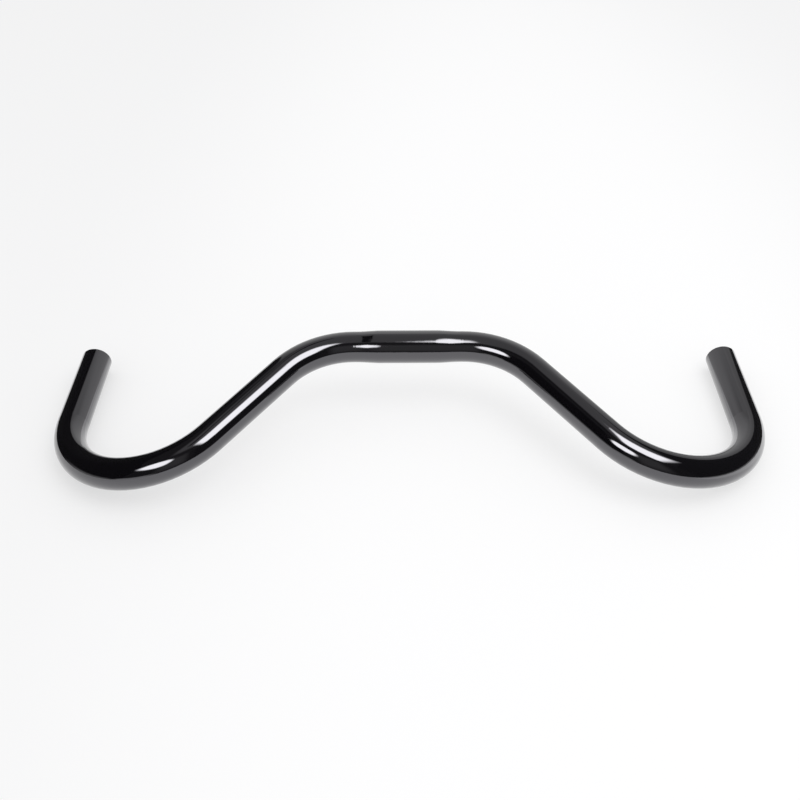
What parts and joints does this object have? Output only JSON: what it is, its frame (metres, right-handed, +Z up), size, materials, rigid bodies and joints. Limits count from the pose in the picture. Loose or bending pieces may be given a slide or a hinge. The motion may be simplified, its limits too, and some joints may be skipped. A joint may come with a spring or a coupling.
{
  "type": "moustache handlebar",
  "caption": "Bent-tube bicycle handlebar: swaged clamp zone, legs that sweep forward and down, and hooks that turn back into level parallel grips.",
  "frame": {"origin": "middle of the clamp zone, on the tube's axis", "axes": "+X along the clamp axis to the rider's right, -Y forward the way the bicycle rides, +Z up; the grips are level and run along Y"},
  "size_m": [0.5384, 0.1574, 0.0635],
  "materials": {
    "gloss_black": "deep gloss black coat over an aluminium tube"
  },
  "bodies": {
    "root": {"handlebar": "gloss_black"}
  },
  "joints": []
}
